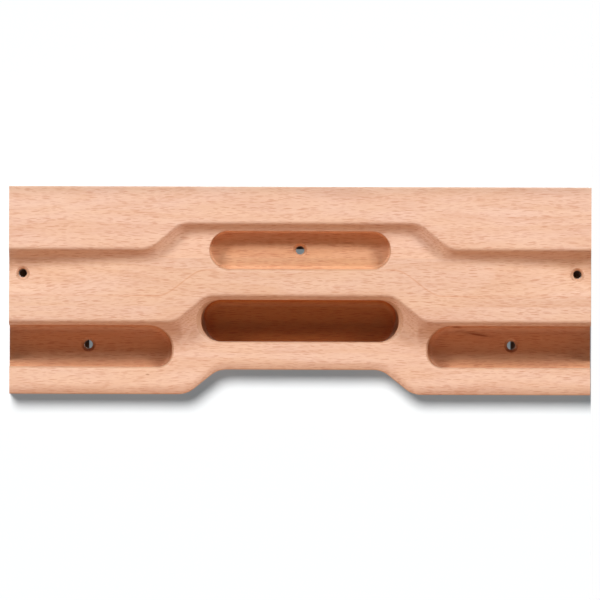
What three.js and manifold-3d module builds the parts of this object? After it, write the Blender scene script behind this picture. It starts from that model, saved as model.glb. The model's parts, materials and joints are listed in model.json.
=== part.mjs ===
// A wooden climbing training board, milled from a blank that is glued up from five full-length staves.
// Millimetres. +X runs to the right, +Z up, and the front faces -Y.
// The origin is the middle of the flat back face, which lies on the wall.
import * as THREE from 'three';
import { mergeVertices } from 'three/addons/utils/BufferGeometryUtils.js';
import Module from 'manifold-3d';

const wasm = await Module();
wasm.setup();

// Width and thickness of the board.
const boardWidth = 580;
const boardThickness = 60;

// Heights at the ends of the board, which add up to its own. The finger recess lies under the top tier.
const topTierHeight = 62.4;
const recessHeight = 46.4;
const middleTierHeight = 25.6;
const lowerTierHeight = 72.6;

// Staves of the blank, from the bottom up. Two of the glue joints between them pass just under screw holes.
const topStaveHeight = 24;
const lowerStaveOverTier = 15;
const glueJointClearance = 0.9;
const staves = [
  { name: 'bottom_stave', color: 0xeec3a4 },
  { name: 'lower_stave', color: 0xf0c5a6 },
  { name: 'middle_stave', color: 0xf3c8a6 },
  { name: 'upper_stave', color: 0xf1c6a8 },
  { name: 'top_stave', color: 0xefc2a0 },
];
const woodRoughness = 0.62;
const woodMetalness = 0;

// Depths of the middle and the lower tier, back from the front of the top tier.
const middleTierDepth = 9;
const lowerTierDepth = 27;

// Towards the middle of the board each of these lines climbs by one step, along an S of two bends.
// The bottom edge climbs by a share of it.
const centreRise = 25.9;
const bottomRiseShare = 0.955;
const climbAngle = THREE.MathUtils.degToRad(40);
const bendRadius = 24;

// Distance of each S from the middle of the board.
const topTierClimb = 134.4;
const creaseClimb = 118;
const middleTierClimb = 109;
const bottomEdgeClimb = 97.2;

// Slope of the walls under the tiers, and the finger recess that deepens towards the ends.
const wallAngle = THREE.MathUtils.degToRad(51);
const recessStart = 80;
const recessExtraDepth = 6.5;

// Roundings of the top edge, the tier edges, the valley of the recess and the cove under the middle tier.
const topEdgeRadius = 1.5;
const tierEdgeRadius = 5.5;
const valleyRadius = 18;
const coveRadius = 30;

// The bottom edge is eased by part of a wide arc, which turns by this angle before the flat underside.
const easeRadius = 20;
const easeAngle = THREE.MathUtils.degToRad(30);

// Steps along the curves of the section, along the stretch where the lines climb, and from there to the ends.
const topEdgeSteps = 3;
const tierEdgeSteps = 4;
const easeSteps = 5;
const valleySteps = 4;
const coveSteps = 6;
const climbSteps = 16;
const endSteps = 4;

// Finger pockets. Each starts below the edge of the tier over it.
// Its depth is measured back from the front of the top tier.
const topPocket = {
  belowTier: 7.75,
  height: 37.75,
  halfLength: 90,
  depth: 21.5,
  upperCorner: 18.5,
  lowerCorner: 18.5,
  sideCove: 2,
  lowerCove: 3.5,
};
const centrePocket = {
  belowTier: 4.25,
  height: 41.75,
  halfLength: 98.5,
  depth: 51.5,
  upperCorner: 20,
  lowerCorner: 20,
  sideCove: 8,
  lowerCove: 1.5,
};
const sidePocket = {
  belowTier: 3.9,
  height: 41.6,
  start: 127.5,
  depth: 43,
  upperCorner: 24,
  lowerCorner: 14.5,
  sideCove: 6,
  lowerCove: 1.5,
};
const cornerSteps = 6;
const pocketCoveSteps = 5;

// Screw holes with countersinks: in the top pocket, in both side pockets and at both ends of the recess.
const holeRadius = 4.25;
const countersinkRadius = 7.2;
const holeSides = 24;
const sideHoleFromEnd = 78.7;
const sideHoleOverMiddle = 1.5;
const recessHoleFromEnd = 13.5;
const recessHoleHeightShare = 0.64;

// How far a cutting shape runs past the face that it breaks through.
const overrun = 5;

// Derived places.
const halfWidth = boardWidth / 2;
const boardHeight = topTierHeight + recessHeight + middleTierHeight + lowerTierHeight;
const topZ = boardHeight / 2;
const bottomZ = -topZ;
const topTierZ = topZ - topTierHeight;
const middleTierZ = bottomZ + lowerTierHeight;
const creaseZ = middleTierZ + middleTierHeight;
const cutFrontY = -boardThickness - overrun;

// The S that every line follows. A low climb limits the radius of its bends.
const climbRadius = Math.min(bendRadius, centreRise / 2 / (1 - Math.cos(climbAngle)));
const bendRun = climbRadius * Math.sin(climbAngle);
const bendRise = climbRadius * (1 - Math.cos(climbAngle));
const climbHalfRun = bendRun + (centreRise / 2 - bendRise) / Math.tan(climbAngle);

// How far a line has climbed at a distance from the board's middle, and how steeply it runs there.
function climbAt(distance, place) {
  const inward = place - distance;
  const toEnd = climbHalfRun - Math.abs(inward);
  if (toEnd <= 0) {
    return { rise: inward > 0 ? centreRise : 0, slope: 0 };
  }
  if (toEnd >= bendRun) {
    return { rise: centreRise / 2 + inward * Math.tan(climbAngle), slope: climbAngle };
  }
  const lift = climbRadius - Math.sqrt(climbRadius ** 2 - toEnd ** 2);
  return { rise: inward > 0 ? centreRise - lift : lift, slope: Math.asin(toEnd / climbRadius) };
}

// Depth of the recess: level with the middle tier near the board's middle, and ever deeper to its ends.
function recessDepth(distance) {
  const reachShare = Math.max(0, distance - recessStart) / (halfWidth - recessStart);
  return middleTierDepth + recessExtraDepth * reachShare ** 2;
}

// Height that a wall under a tier takes up for its depth, where its line runs level or climbs.
function wallHeight(depth, slope) {
  return depth / Math.tan(wallAngle) / Math.cos(slope);
}

// How far each corner's rounding runs along its sides. Roundings that would meet divide their side.
function roundingReaches(places, radii) {
  const neighbours = places.map((_, index) => [
    (index + places.length - 1) % places.length,
    (index + 1) % places.length,
  ]);
  const wanted = places.map((corner, index) => {
    const [toBefore, toAfter] = neighbours[index].map((other) => places[other].clone().sub(corner));
    return radii[index] / Math.tan(toBefore.angleTo(toAfter) / 2);
  });
  return places.map((corner, index) => Math.min(wanted[index], ...neighbours[index].map((other) => {
    const both = wanted[index] + wanted[other];
    return both > 0 ? corner.distanceTo(places[other]) * wanted[index] / both : 0;
  })));
}

// The arc that rounds off a corner between its neighbours and runs along its sides for the reach.
function roundCorner(before, corner, after, reach, steps) {
  const toBefore = before.clone().sub(corner);
  const toAfter = after.clone().sub(corner);
  const halfAngle = toBefore.angleTo(toAfter) / 2;
  const arcRadius = reach * Math.tan(halfAngle);
  toBefore.normalize();
  toAfter.normalize();
  const bisector = toBefore.clone().add(toAfter).normalize();
  const centre = corner.clone().addScaledVector(bisector, arcRadius / Math.sin(halfAngle));
  const start = corner.clone().addScaledVector(toBefore, reach).sub(centre);
  const end = corner.clone().addScaledVector(toAfter, reach).sub(centre);
  const turn = Math.atan2(start.cross(end), start.dot(end));
  const origin = new THREE.Vector2();
  const arc = [];
  for (let step = 0; step <= steps; step += 1) {
    arc.push(start.clone().rotateAround(origin, turn * step / steps).add(centre));
  }
  return arc;
}

// The eased bottom edge as (depth, height): the arc from the lower face down to the underside.
function easedEdge(bottomEdgeZ) {
  const arc = [];
  for (let step = 0; step <= easeSteps; step += 1) {
    const angle = easeAngle * step / easeSteps;
    const depth = lowerTierDepth + easeRadius * (1 - Math.cos(angle));
    arc.push([depth, bottomEdgeZ + easeRadius * (Math.sin(easeAngle) - Math.sin(angle))]);
  }
  return arc;
}

// The board's section, as (depth, height): from the top of the back over the front to the bottom of the back.
function sectionAt(x) {
  const distance = Math.abs(x);
  const topLine = climbAt(distance, topTierClimb);
  const middleLine = climbAt(distance, middleTierClimb);
  const topEdgeZ = topTierZ + topLine.rise;
  const middleEdgeZ = middleTierZ + middleLine.rise;
  const bottomEdgeZ = bottomZ + climbAt(distance, bottomEdgeClimb).rise * bottomRiseShare;
  const valleyDepth = recessDepth(distance);
  const valleyZ = topEdgeZ - wallHeight(valleyDepth, topLine.slope);
  const coveZ = middleEdgeZ - wallHeight(lowerTierDepth - middleTierDepth, middleLine.slope);
  const corners = [
    [boardThickness, topZ],
    [0, topZ, topEdgeRadius, topEdgeSteps],
    [0, topEdgeZ, tierEdgeRadius, tierEdgeSteps],
    [valleyDepth, valleyZ, valleyRadius / Math.cos(topLine.slope) ** 2, valleySteps],
    [middleTierDepth, creaseZ + climbAt(distance, creaseClimb).rise],
    [middleTierDepth, middleEdgeZ, tierEdgeRadius, tierEdgeSteps],
    [lowerTierDepth, coveZ, coveRadius / Math.cos(middleLine.slope) ** 2, coveSteps],
    ...easedEdge(bottomEdgeZ),
    [boardThickness, bottomEdgeZ],
  ];
  const places = corners.map(([depth, height]) => new THREE.Vector2(depth, height));
  const reaches = roundingReaches(places, corners.map(([, , radius = 0]) => radius));
  return corners.flatMap(([, , radius, steps], index) => {
    if (!radius) {
      return [places[index]];
    }
    return roundCorner(places[index - 1], places[index], places[index + 1], reaches[index], steps);
  });
}

// Where sections are taken: close together along the climbs, and further apart to the ends.
function sectionPlaces() {
  const climbs = [topTierClimb, creaseClimb, middleTierClimb, bottomEdgeClimb];
  const inner = Math.min(...climbs) - climbHalfRun;
  const outer = Math.max(...climbs) + climbHalfRun;
  const right = [];
  for (let step = 0; step < climbSteps; step += 1) {
    right.push(THREE.MathUtils.lerp(inner, outer, step / climbSteps));
  }
  for (let step = 0; step <= endSteps; step += 1) {
    right.push(THREE.MathUtils.lerp(outer, halfWidth, step / endSteps));
  }
  return [...right.map((place) => -place).reverse(), ...right];
}

// A closed body through rings of equally many points, closed at both ends by flat faces.
// A ring runs anticlockwise as seen from the side that the rings advance to, in the plane that flatten gives.
function skinRings(rings, flatten) {
  const count = rings[0].length;
  const last = (rings.length - 1) * count;
  const indices = [];
  for (let near = 0; near < last; near += count) {
    for (let index = 0; index < count; index += 1) {
      const next = (index + 1) % count;
      indices.push(near + index, near + next, near + count + next);
      indices.push(near + index, near + count + next, near + count + index);
    }
  }
  for (const [a, b, c] of THREE.ShapeUtils.triangulateShape(rings[0].map(flatten), [])) {
    indices.push(a, c, b);
  }
  for (const [a, b, c] of THREE.ShapeUtils.triangulateShape(rings.at(-1).map(flatten), [])) {
    indices.push(last + a, last + b, last + c);
  }
  const geometry = new THREE.BufferGeometry();
  const positions = rings.flat().flatMap((point) => point.toArray());
  geometry.setAttribute('position', new THREE.Float32BufferAttribute(positions, 3));
  geometry.setIndex(indices);
  return geometry;
}

// A solid for joining and cutting, made of a geometry's triangles with its shared corners merged.
function toSolid(geometry) {
  geometry.deleteAttribute('normal');
  geometry.deleteAttribute('uv');
  const merged = mergeVertices(geometry);
  const indices = merged.getIndex().array;
  const triangles = [];
  for (let start = 0; start < indices.length; start += 3) {
    const [a, b, c] = indices.slice(start, start + 3);
    if (a !== b && b !== c && c !== a) {
      triangles.push(a, b, c);
    }
  }
  return new wasm.Manifold(new wasm.Mesh({
    numProp: 3,
    vertProperties: merged.getAttribute('position').array,
    triVerts: new Uint32Array(triangles),
  }));
}

function toGeometry(solid) {
  const { vertProperties, triVerts } = solid.getMesh();
  const geometry = new THREE.BufferGeometry();
  geometry.setAttribute('position', new THREE.BufferAttribute(vertProperties, 3));
  geometry.setIndex(new THREE.BufferAttribute(triVerts, 1));
  geometry.computeVertexNormals();
  return geometry;
}

// The tiered board before its pockets and holes are cut.
function boardBody() {
  const rings = sectionPlaces().map((x) => sectionAt(x).map(
    (point) => new THREE.Vector3(x, point.x - boardThickness, point.y),
  ));
  return toSolid(skinRings(rings, (point) => new THREE.Vector2(point.y, point.z)));
}

// How far a wall has come in where a cove of the radius runs into the floor, at a height over the floor.
function coveInset(overFloor, radius) {
  const left = Math.max(0, radius - overFloor);
  return radius - Math.sqrt(radius ** 2 - left ** 2);
}

// One ring of a pocket's cutting shape: an outline with elliptic corners, drawn in by its coves.
// A low pocket limits its corners, and a small corner limits its coves.
function pocketRing(pocket, box, y, floorY) {
  const overFloor = floorY - y;
  const cornerShare = Math.min(1, pocket.height / (pocket.upperCorner + pocket.lowerCorner));
  const upperCorner = pocket.upperCorner * cornerShare;
  const lowerCorner = pocket.lowerCorner * cornerShare;
  const sideInset = coveInset(overFloor, Math.min(pocket.sideCove, upperCorner, lowerCorner));
  const lowerInset = coveInset(overFloor, Math.min(pocket.lowerCove, lowerCorner));
  const corners = [
    { x: box.right, z: box.top, radius: upperCorner, inset: sideInset, ways: [-1, -1] },
    { x: box.left, z: box.top, radius: upperCorner, inset: sideInset, ways: [1, -1] },
    { x: box.left, z: box.bottom, radius: lowerCorner, inset: lowerInset, ways: [1, 1] },
    { x: box.right, z: box.bottom, radius: lowerCorner, inset: lowerInset, ways: [-1, 1] },
  ];
  const ring = [];
  corners.forEach(({ x, z, radius, inset, ways }, quarter) => {
    for (let step = 0; step <= cornerSteps; step += 1) {
      const angle = Math.PI / 2 * (quarter + step / cornerSteps);
      ring.push(new THREE.Vector3(
        x + ways[0] * radius + (radius - sideInset) * Math.cos(angle),
        y,
        z + ways[1] * radius + (radius - inset) * Math.sin(angle),
      ));
    }
  });
  return ring;
}

// A pocket's cutting shape, from its floor out through the front.
function pocketCut(pocket, box) {
  const floorY = pocket.depth - boardThickness;
  const coveHeight = Math.max(pocket.sideCove, pocket.lowerCove);
  const levels = [];
  for (let step = 0; step <= pocketCoveSteps; step += 1) {
    levels.push(floorY - coveHeight * (1 - Math.cos(Math.PI / 2 * step / pocketCoveSteps)));
  }
  levels.push(cutFrontY);
  const rings = levels.map((y) => pocketRing(pocket, box, y, floorY));
  return toSolid(skinRings(rings, (point) => new THREE.Vector2(point.x, point.z)));
}

// A screw hole with its countersink, from behind the back out through the front, at a depth of the surface.
function holeCut(x, z, surfaceDepth) {
  const surfaceY = surfaceDepth - boardThickness;
  const profile = [
    new THREE.Vector2(0, cutFrontY),
    new THREE.Vector2(countersinkRadius, cutFrontY),
    new THREE.Vector2(countersinkRadius, surfaceY),
    new THREE.Vector2(holeRadius, surfaceY + countersinkRadius - holeRadius),
    new THREE.Vector2(holeRadius, overrun),
    new THREE.Vector2(0, overrun),
  ];
  return toSolid(new THREE.LatheGeometry(profile, holeSides).translate(x, 0, z));
}

// A block that holds everything of the board below a height.
function blockBelow(height) {
  const depth = boardThickness + 2 * overrun;
  const block = new THREE.BoxGeometry(boardWidth + 2 * overrun, depth, boardHeight);
  return toSolid(block.translate(0, -boardThickness / 2, height - boardHeight / 2));
}

// Where each pocket's opening lies.
const topPocketTop = topTierZ + centreRise - topPocket.belowTier;
const centrePocketTop = middleTierZ + centreRise - centrePocket.belowTier;
const sidePocketTop = middleTierZ - sidePocket.belowTier;
const sidePocketEnd = halfWidth + overrun + sidePocket.upperCorner;
const topHoleZ = topPocketTop - topPocket.height / 2;
const sideHoleZ = sidePocketTop - sidePocket.height / 2 + sideHoleOverMiddle;
const sides = [-1, 1];

const cuts = [
  pocketCut(topPocket, {
    left: -topPocket.halfLength,
    right: topPocket.halfLength,
    top: topPocketTop,
    bottom: topPocketTop - topPocket.height,
  }),
  pocketCut(centrePocket, {
    left: -centrePocket.halfLength,
    right: centrePocket.halfLength,
    top: centrePocketTop,
    bottom: centrePocketTop - centrePocket.height,
  }),
  holeCut(0, topHoleZ, topPocket.depth),
];
for (const side of sides) {
  const ends = [side * sidePocket.start, side * sidePocketEnd];
  cuts.push(pocketCut(sidePocket, {
    left: Math.min(...ends),
    right: Math.max(...ends),
    top: sidePocketTop,
    bottom: sidePocketTop - sidePocket.height,
  }));
  cuts.push(holeCut(side * (halfWidth - sideHoleFromEnd), sideHoleZ, sidePocket.depth));
  const recessHoleDistance = halfWidth - recessHoleFromEnd;
  const valleyDepth = recessDepth(recessHoleDistance);
  const valleyZ = topTierZ - wallHeight(valleyDepth, 0);
  const recessHoleZ = THREE.MathUtils.lerp(creaseZ, valleyZ, recessHoleHeightShare);
  const recessHoleDepth = THREE.MathUtils.lerp(middleTierDepth, valleyDepth, recessHoleHeightShare);
  cuts.push(holeCut(side * recessHoleDistance, recessHoleZ, recessHoleDepth));
}

// The board is cut as one block and then divided at the glue joints, so that neighbours meet face to face.
let remaining = boardBody();
for (const cut of cuts) {
  remaining = remaining.subtract(cut);
}
const jointBelowHole = countersinkRadius + glueJointClearance;
const glueJoints = [
  sideHoleZ - jointBelowHole,
  middleTierZ + lowerStaveOverTier,
  topHoleZ - jointBelowHole,
  topZ - topStaveHeight,
];
const board = new THREE.Group();
staves.forEach(({ name, color }, index) => {
  let solid = remaining;
  if (index < glueJoints.length) {
    const block = blockBelow(glueJoints[index]);
    solid = remaining.intersect(block);
    remaining = remaining.subtract(block);
  }
  const material = new THREE.MeshStandardMaterial({ color });
  material.roughness = woodRoughness;
  material.metalness = woodMetalness;
  const stave = new THREE.Mesh(toGeometry(solid), material);
  stave.name = name;
  board.add(stave);
});

export default board;
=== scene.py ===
import json
import math

import bmesh
import bpy
from bpy.props import FloatProperty, FloatVectorProperty, PointerProperty
from mathutils import Matrix, Vector

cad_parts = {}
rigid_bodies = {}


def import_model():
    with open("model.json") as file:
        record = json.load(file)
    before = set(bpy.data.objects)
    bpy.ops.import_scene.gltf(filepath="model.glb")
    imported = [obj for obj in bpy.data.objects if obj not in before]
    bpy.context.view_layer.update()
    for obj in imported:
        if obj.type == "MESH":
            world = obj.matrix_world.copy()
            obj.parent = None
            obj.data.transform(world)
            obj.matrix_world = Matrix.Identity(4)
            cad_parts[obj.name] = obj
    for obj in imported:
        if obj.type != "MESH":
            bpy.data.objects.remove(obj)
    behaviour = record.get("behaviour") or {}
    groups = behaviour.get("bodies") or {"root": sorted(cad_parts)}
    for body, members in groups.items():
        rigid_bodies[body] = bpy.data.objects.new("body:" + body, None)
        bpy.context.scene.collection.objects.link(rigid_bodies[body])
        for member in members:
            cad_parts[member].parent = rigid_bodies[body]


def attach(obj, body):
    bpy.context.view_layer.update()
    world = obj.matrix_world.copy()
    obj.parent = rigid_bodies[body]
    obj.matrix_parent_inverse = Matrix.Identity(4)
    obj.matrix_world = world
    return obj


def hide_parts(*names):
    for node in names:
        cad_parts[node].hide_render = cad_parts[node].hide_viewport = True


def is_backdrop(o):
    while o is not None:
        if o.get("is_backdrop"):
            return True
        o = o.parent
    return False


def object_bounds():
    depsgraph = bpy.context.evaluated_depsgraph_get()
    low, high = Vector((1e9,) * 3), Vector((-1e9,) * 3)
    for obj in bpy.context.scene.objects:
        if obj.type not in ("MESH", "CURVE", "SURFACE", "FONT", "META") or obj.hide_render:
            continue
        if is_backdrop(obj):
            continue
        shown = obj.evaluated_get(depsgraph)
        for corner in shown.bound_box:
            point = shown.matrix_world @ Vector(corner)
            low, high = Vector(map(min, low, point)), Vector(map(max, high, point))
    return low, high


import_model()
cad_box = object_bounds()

bl_info = {
    "name": "Training Board",
    "version": (1, 0, 0),
    "blender": (4, 5, 0),
    "location": "View3D > Sidebar > Board",
    "description": "A milled beech training board with stepped tiers, a finger recess and finger pockets",
    "category": "Object",
}

MILLIMETRE = 0.001
STAVE_NAMES = ("bottom_stave", "lower_stave", "middle_stave", "upper_stave", "top_stave")
LOW, HIGH = cad_box

# Steps along the curves and the straight sides of the section.
EDGE_STEPS = 6
VALLEY_STEPS = 8
COVE_STEPS = 16
EASE_STEPS = 10
FACE_STEPS = 8

# Steps along each pocket's corners, coves and rim, and round a screw hole.
CORNER_STEPS = 18
POCKET_COVE_STEPS = 10
RIM_STEPS = 5
HOLE_STEPS = 64

# Distance between sections where the lines climb, and elsewhere.
CLIMB_SPACING = 1.5 * MILLIMETRE
PLAIN_SPACING = 6 * MILLIMETRE

# How far round a pocket's rim is milled, short of flush, and how far its cutter then runs straight on.
RIM_TURN = math.radians(72)
RIM_RUN = 1 * MILLIMETRE

# How far a cutting shape runs past the face that it breaks through.
OVERRUN = 5 * MILLIMETRE

# Corners nearer to each other than this are merged.
MERGE_DISTANCE = 0.001 * MILLIMETRE

# A place nearer than this to the back, the ends, the top or the underside counts as on it.
SKIN = 0.2 * MILLIMETRE

# The layer that keeps how deep each place lies, which sets the painted shade of the hollows, and how far the
# rims reach under the surface at most.
HOLLOW_LAYER = "hollow"
RIM_DEPTH = 3 * MILLIMETRE

# A place deeper than the skin of a rim counts as in the rim, which adds to its depth and so to its painted
# shade. A screw hole adds too.
RIM_SKIN = 0.02 * MILLIMETRE
RIM_EXTRA = 1 * MILLIMETRE
DRILLED_EXTRA = 3 * MILLIMETRE

# Faces that meet at more than this angle keep a sharp edge, and those with more corners than this are split.
SHARP_ANGLE = math.radians(24)
MOST_CORNERS = 4


def length(name, millimetres, description):
    """A size that a user would change, given in millimetres and kept in metres."""
    return FloatProperty(
        name=name,
        description=description,
        default=millimetres * MILLIMETRE,
        min=0.0,
        unit="LENGTH",
        subtype="DISTANCE",
    )


def angle(name, degrees, description):
    """An angle that a user would change."""
    return FloatProperty(
        name=name,
        description=description,
        default=math.radians(degrees),
        unit="ROTATION",
        subtype="ANGLE",
    )


def colour(name, value, description):
    """A colour that a user would change."""
    return FloatVectorProperty(
        name=name,
        description=description,
        default=value,
        min=0.0,
        max=1.0,
        subtype="COLOR",
    )


def share(name, value, description):
    """A share from none to all."""
    return FloatProperty(
        name=name,
        description=description,
        default=value,
        min=0.0,
        max=1.0,
        subtype="FACTOR",
    )


def amount(name, value, description):
    """A plain number."""
    return FloatProperty(name=name, description=description, default=value, min=0.0)


class TierSizes(bpy.types.PropertyGroup):
    """Sizes of the tiers, the finger recess and the bottom edge"""

    top_height: length("Top tier", 62.4, "Height of the top tier at the ends of the board")
    recess_height: length("Recess", 46.4, "Height of the finger recess at the ends of the board")
    middle_height: length("Middle tier", 25.6, "Height of the middle tier")
    middle_depth: length("Middle tier depth", 9, "Depth of the middle tier behind the front of the top tier")
    lower_depth: length("Lower tier depth", 27, "Depth of the lower tier behind the front of the top tier")
    centre_rise: length("Centre rise", 25.9, "How far each line climbs towards the middle of the board")
    bottom_rise_share: share("Bottom rise", 0.955, "Share of the centre rise that the bottom edge climbs")
    climb_angle: angle("Climb angle", 40, "Slope of the climbing lines")
    bend_radius: length("Bend radius", 24, "Radius of the bends at both ends of each climb")
    top_climb: length("Top tier climb", 134.4, "Distance of the top tier's climb from the middle")
    crease_climb: length("Crease climb", 118, "Distance of the crease's climb from the middle")
    middle_climb: length("Middle tier climb", 109, "Distance of the middle tier's climb from the middle")
    bottom_climb: length("Bottom edge climb", 97.2, "Distance of the bottom edge's climb from the middle")
    wall_angle: angle("Wall angle", 51, "Slope of the walls under the tiers")
    recess_start: length("Recess start", 80, "Distance from the middle at which the recess starts to deepen")
    recess_extra_depth: length("Recess depth", 6.5, "How much deeper the recess gets towards both ends")


class EdgeSizes(bpy.types.PropertyGroup):
    """Roundings of the section"""

    top_radius: length("Top edge", 1.5, "Rounding of the top edge")
    tier_radius: length("Tier edges", 5.5, "Rounding of the edges of the tiers")
    valley_radius: length("Valley", 18, "Rounding of the valley of the recess")
    cove_radius: length("Cove", 30, "Rounding of the cove under the middle tier")
    ease_radius: length("Bottom easing", 20, "Radius of the arc that eases the bottom edge")
    ease_angle: angle("Easing turn", 30, "Angle by which the easing arc turns before the flat underside")
    upper_rim: length("Upper rim", 0.4, "Rounding of the rims at the top of the pockets")
    lower_rim: length("Lower rim", 2.4, "Rounding of the rims at the bottom of the pockets")


# Names and descriptions of the sizes that several pockets have.
POCKET_WORDS = {
    "below_tier": ("Below tier", "Distance of the pocket below the edge of the tier over it"),
    "height": ("Height", "Height of the pocket"),
    "reach": ("Half length", "Distance of both ends from the middle of the board"),
    "depth": ("Depth", "Depth of the floor, back from the front of the top tier"),
    "upper_corner": ("Upper corners", "Radius of the upper corners"),
    "lower_corner": ("Lower corners", "Radius of the lower corners"),
    "side_cove": ("Side cove", "Radius where the sides meet the floor"),
    "lower_cove": ("Lower cove", "Radius where the lower wall meets the floor"),
    "end_rim": ("End rims", "Rounding of the rims at the ends of the pocket"),
}


def pocket_length(part, millimetres):
    """A size that several pockets have."""
    name, description = POCKET_WORDS[part]
    return length(name, millimetres, description)


class TopPocketSizes(bpy.types.PropertyGroup):
    """Sizes of the finger pocket in the raised middle of the recess"""

    below_tier: pocket_length("below_tier", 7.75)
    height: pocket_length("height", 37.75)
    reach: pocket_length("reach", 90)
    depth: pocket_length("depth", 21.5)
    upper_corner: pocket_length("upper_corner", 18.5)
    lower_corner: pocket_length("lower_corner", 18.5)
    side_cove: pocket_length("side_cove", 2)
    lower_cove: pocket_length("lower_cove", 3.5)
    end_rim: pocket_length("end_rim", 1)


class CentrePocketSizes(bpy.types.PropertyGroup):
    """Sizes of the deep finger pocket in the middle of the lower tier"""

    below_tier: pocket_length("below_tier", 4.25)
    height: pocket_length("height", 41.75)
    reach: pocket_length("reach", 98.5)
    depth: pocket_length("depth", 51.5)
    upper_corner: pocket_length("upper_corner", 20)
    lower_corner: pocket_length("lower_corner", 20)
    side_cove: pocket_length("side_cove", 8)
    lower_cove: pocket_length("lower_cove", 1.5)
    end_rim: pocket_length("end_rim", 6.5)


class SidePocketSizes(bpy.types.PropertyGroup):
    """Sizes of the two finger pockets that run out through the ends of the board"""

    below_tier: pocket_length("below_tier", 3.9)
    height: pocket_length("height", 41.6)
    start: length("Start", 127.5, "Distance of the inner end from the middle of the board")
    depth: pocket_length("depth", 43)
    upper_corner: pocket_length("upper_corner", 24)
    lower_corner: pocket_length("lower_corner", 14.5)
    side_cove: pocket_length("side_cove", 6)
    lower_cove: pocket_length("lower_cove", 1.5)
    end_rim: pocket_length("end_rim", 2.5)


class HoleSizes(bpy.types.PropertyGroup):
    """Sizes and places of the five countersunk screw holes"""

    radius: length("Radius", 4.25, "Radius of the hole")
    countersink_radius: length("Countersink", 7.2, "Radius of the countersink at the surface")
    side_from_end: length("Side holes", 78.7, "Distance of the side pockets' holes from the ends")
    side_over_middle: length("Side hole height", 1.5, "Height of these holes over their pockets' middle")
    recess_from_end: length("Recess holes", 13.5, "Distance of the holes in the recess from the ends")
    recess_height_share: share("Recess hole height", 0.64, "Height of these holes between crease and valley")


class WoodLooks(bpy.types.PropertyGroup):
    """Colours and finish of the steamed beech"""

    pale: colour("Pale wood", (0.79, 0.565, 0.46), "Colour of the palest early wood")
    deep: colour("Deep wood", (0.66, 0.40, 0.285), "Colour of the darker late wood")
    golden: colour("Golden wood", (0.78, 0.53, 0.37), "Colour of the yellower clouds in the wood")
    fleck: colour("Flecks", (0.52, 0.235, 0.14), "Colour of the ray flecks")
    fleck_strength: share("Fleck strength", 0.66, "How strongly the ray flecks show")
    end_grain: colour("End grain", (0.60, 0.37, 0.25), "Colour of the cut ends of the fibres")
    mark: colour("Marks", (0.30, 0.11, 0.04), "Colour of the natural streaks in the wood")
    mark_strength: share("Mark strength", 0.8, "How strongly the natural streaks show")
    # Strength of the painted shade in the recess, on rims, in pockets and in holes.
    shade_strength_in_hollows: share("Hollow tone", 1.0, "How strongly the wood deepens in colour inside the pockets")
    roughness: share("Roughness", 0.58, "Roughness of the sanded surface")
    grain_height: length("Grain height", 0.05, "Height of the fine grain on the surface")


class StageLooks(bpy.types.PropertyGroup):
    """Camera, lamps and backdrop"""

    camera_distance: length("Camera distance", 12000, "Distance of the camera from the front of the board")
    camera_drop: length("Camera drop", 9.27, "How far the camera sits below the board's middle")
    camera_roll: angle("Camera roll", -0.17, "Turn of the camera about its own axis")
    view_width: length("View width", 597.5, "Width of the view at the front of the board")
    key_angle: angle("Key lamp height", 50, "Angle of both main lamps above the level, seen from the side")
    key_side: share("Key lamp side", 0.87, "Share of their distance that both main lamps stand to the sides")
    key_distance: length("Key lamp distance", 2300, "Distance of both main lamps, seen from the side")
    key_size: length("Key lamp size", 680, "Width and height of both main lamps")
    key_power: amount("Key lamp power", 86, "Power of each main lamp in watts")
    under_power: amount("Under lamp power", 6.8, "Power of the soft lamp under the board")
    under_colour: colour("Under lamp colour", (1.0, 0.57, 0.36), "Colour of the soft lamp under the board")
    rear_power: amount("Rear lamp power", 40, "Power of the soft lamp behind the board")
    backdrop_sun: amount("Backdrop light", 9.6, "Strength of the even light on the backdrop alone")
    backdrop_softness: angle("Backdrop light spread", 24, "Angle that softens the shadow on the backdrop")
    fill: share("Fill", 0.02, "Brightness of the world around the board")
    shade: share("Shade", 0.19, "Brightness of the backdrop in the board's shadow")
    # The grey card's brightness is the painted shade seen through the side and top screw holes.
    card_shade: share("Card shade", 0.22, "Brightness of the card behind the screw holes")


class BoardSettings(bpy.types.PropertyGroup):
    """Everything that a user would change on the board"""

    top_stave_height: length("Top stave", 24, "Height of the top stave")
    stave_over_tier: length("Lower stave", 15, "Height of the lower stave over the middle tier's edge")
    joint_clearance: length("Joint clearance", 0.9, "Distance of two of the glue joints below screw holes")
    tiers: PointerProperty(type=TierSizes)
    edges: PointerProperty(type=EdgeSizes)
    top_pocket: PointerProperty(type=TopPocketSizes)
    centre_pocket: PointerProperty(type=CentrePocketSizes)
    side_pocket: PointerProperty(type=SidePocketSizes)
    holes: PointerProperty(type=HoleSizes)
    wood: PointerProperty(type=WoodLooks)
    stage: PointerProperty(type=StageLooks)


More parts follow.
